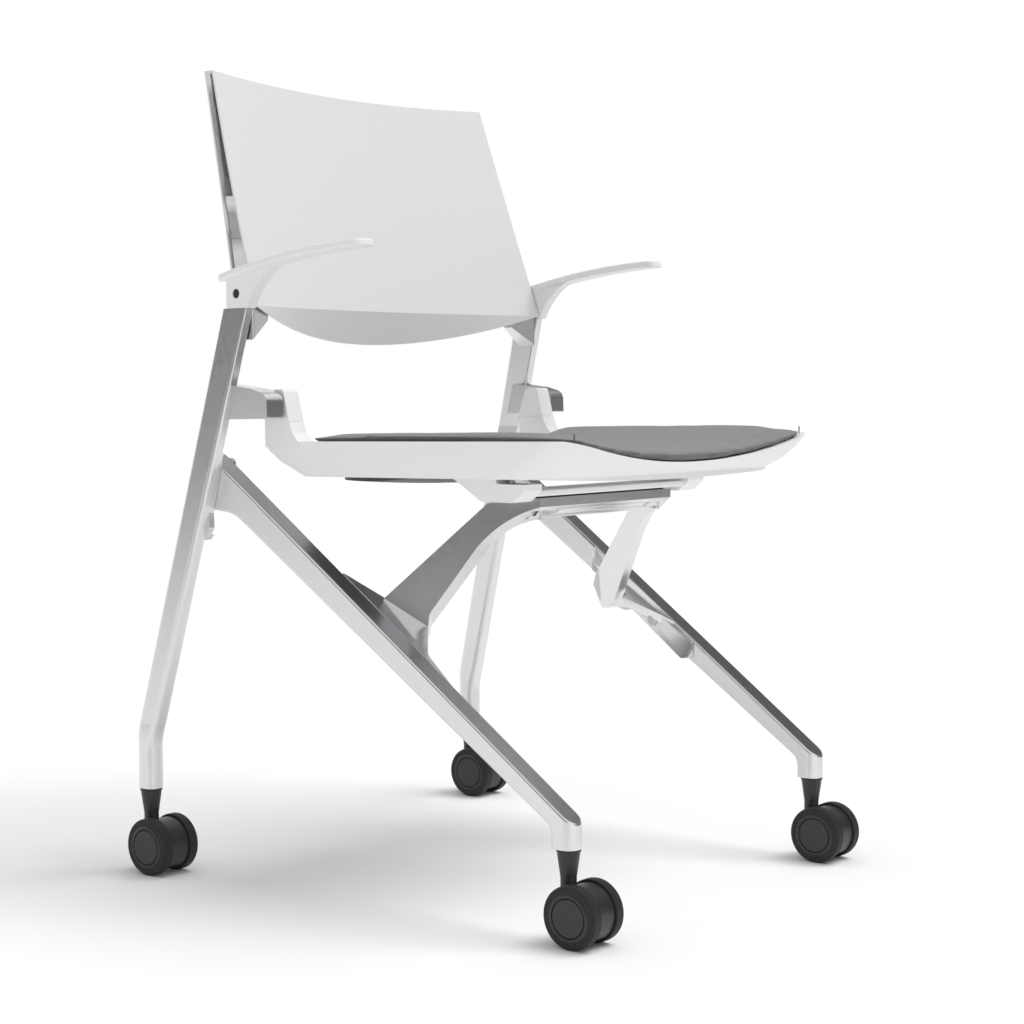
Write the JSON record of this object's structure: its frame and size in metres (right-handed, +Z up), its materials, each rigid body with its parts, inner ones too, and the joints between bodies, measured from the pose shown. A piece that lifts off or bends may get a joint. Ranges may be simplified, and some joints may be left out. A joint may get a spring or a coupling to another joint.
{
  "type": "nesting chair",
  "caption": "Nesting chair with a tip-up padded seat, cast legs joined by an arched bridge, a double-shell back, arms and twin-wheel casters.",
  "frame": {"origin": "on the floor under the middle of the bounding box", "axes": "+Z up, the chair faces -Y, the sitter's left is +X"},
  "size_m": [0.5832, 0.583, 0.846],
  "materials": {
    "cast_aluminium": "satin polished casting",
    "white_plastic": "satin moulded",
    "seat_fabric": "woven",
    "plywood": "plain",
    "dark_plastic": "fine grain",
    "black_rubber": "matte",
    "bearing_plastic": "smooth",
    "caster_plastic": "satin",
    "steel": "zinc plated"
  },
  "bodies": {
    "frame": {"arm_screws": "steel", "armrest_left": "white_plastic", "armrest_right": "white_plastic", "back_bracket_left": "cast_aluminium", "back_bracket_right": "cast_aluminium", "back_front_shell": "white_plastic", "back_rear_shell": "white_plastic", "back_screws": "steel", "beam_rest_strip": "black_rubber", "beam_screws": "steel", "bracket_screws": "steel", "bridge": "cast_aluminium", "bridge_foot_bolts": "steel", "caster_stems": "steel", "front_leg_left": "cast_aluminium", "front_leg_right": "cast_aluminium", "leg_bolts": "steel", "pivot_pin_left": "steel", "pivot_pin_right": "steel", "upright_left": "cast_aluminium", "upright_right": "cast_aluminium"},
    "seat": {"seat_shell": "white_plastic", "seat_carrier": "white_plastic", "seat_board": "plywood", "seat_pad": "seat_fabric", "under_seat_panel": "dark_plastic", "seat_screws": "steel", "hinge_cap_right": "white_plastic", "hinge_cap_left": "white_plastic", "pivot_bush_right": "bearing_plastic", "pivot_bush_left": "bearing_plastic"},
    "swivel_front_right": {"caster_body_front_right": "caster_plastic", "caster_axle_front_right": "steel"},
    "roller_front_right_outer": {"wheel_front_right_outer": "caster_plastic", "wheel_cap_front_right_outer": "caster_plastic"},
    "roller_front_right_inner": {"wheel_front_right_inner": "caster_plastic", "wheel_cap_front_right_inner": "caster_plastic"},
    "swivel_front_left": {"caster_body_front_left": "caster_plastic", "caster_axle_front_left": "steel"},
    "roller_front_left_outer": {"wheel_front_left_outer": "caster_plastic", "wheel_cap_front_left_outer": "caster_plastic"},
    "roller_front_left_inner": {"wheel_front_left_inner": "caster_plastic", "wheel_cap_front_left_inner": "caster_plastic"},
    "swivel_rear_right": {"caster_body_rear_right": "caster_plastic", "caster_axle_rear_right": "steel"},
    "roller_rear_right_outer": {"wheel_rear_right_outer": "caster_plastic", "wheel_cap_rear_right_outer": "caster_plastic"},
    "roller_rear_right_inner": {"wheel_rear_right_inner": "caster_plastic", "wheel_cap_rear_right_inner": "caster_plastic"},
    "swivel_rear_left": {"caster_body_rear_left": "caster_plastic", "caster_axle_rear_left": "steel"},
    "roller_rear_left_outer": {"wheel_rear_left_outer": "caster_plastic", "wheel_cap_rear_left_outer": "caster_plastic"},
    "roller_rear_left_inner": {"wheel_rear_left_inner": "caster_plastic", "wheel_cap_rear_left_inner": "caster_plastic"}
  },
  "joints": [
    {"name": "seat_tip", "type": "hinge", "parent": "frame", "child": "seat", "pos_m": [0, 0.1337, 0.494], "axis": [-1, 0, 0], "range_deg": [0, 80]},
    {"name": "swivel_front_right_turn", "type": "hinge", "parent": "frame", "child": "swivel_front_right", "pos_m": [-0.222, -0.2438, 0.062], "axis": [0, 0, 1], "continuous": true},
    {"name": "roller_front_right_outer_spin", "type": "hinge", "parent": "swivel_front_right", "child": "roller_front_right_outer", "pos_m": [-0.24, -0.2612, 0.03], "axis": [1, 0, 0], "continuous": true},
    {"name": "roller_front_right_inner_spin", "type": "hinge", "parent": "swivel_front_right", "child": "roller_front_right_inner", "pos_m": [-0.204, -0.2612, 0.03], "axis": [1, 0, 0], "continuous": true},
    {"name": "swivel_front_left_turn", "type": "hinge", "parent": "frame", "child": "swivel_front_left", "pos_m": [0.222, -0.2438, 0.062], "axis": [0, 0, 1], "continuous": true},
    {"name": "roller_front_left_outer_spin", "type": "hinge", "parent": "swivel_front_left", "child": "roller_front_left_outer", "pos_m": [0.24, -0.2612, 0.03], "axis": [1, 0, 0], "continuous": true},
    {"name": "roller_front_left_inner_spin", "type": "hinge", "parent": "swivel_front_left", "child": "roller_front_left_inner", "pos_m": [0.204, -0.2612, 0.03], "axis": [1, 0, 0], "continuous": true},
    {"name": "swivel_rear_right_turn", "type": "hinge", "parent": "frame", "child": "swivel_rear_right", "pos_m": [-0.267, 0.2792, 0.062], "axis": [0, 0, 1], "continuous": true},
    {"name": "roller_rear_right_outer_spin", "type": "hinge", "parent": "swivel_rear_right", "child": "roller_rear_right_outer", "pos_m": [-0.285, 0.2618, 0.03], "axis": [1, 0, 0], "continuous": true},
    {"name": "roller_rear_right_inner_spin", "type": "hinge", "parent": "swivel_rear_right", "child": "roller_rear_right_inner", "pos_m": [-0.249, 0.2618, 0.03], "axis": [1, 0, 0], "continuous": true},
    {"name": "swivel_rear_left_turn", "type": "hinge", "parent": "frame", "child": "swivel_rear_left", "pos_m": [0.267, 0.2792, 0.062], "axis": [0, 0, 1], "continuous": true},
    {"name": "roller_rear_left_outer_spin", "type": "hinge", "parent": "swivel_rear_left", "child": "roller_rear_left_outer", "pos_m": [0.285, 0.2618, 0.03], "axis": [1, 0, 0], "continuous": true},
    {"name": "roller_rear_left_inner_spin", "type": "hinge", "parent": "swivel_rear_left", "child": "roller_rear_left_inner", "pos_m": [0.249, 0.2618, 0.03], "axis": [1, 0, 0], "continuous": true}
  ]
}
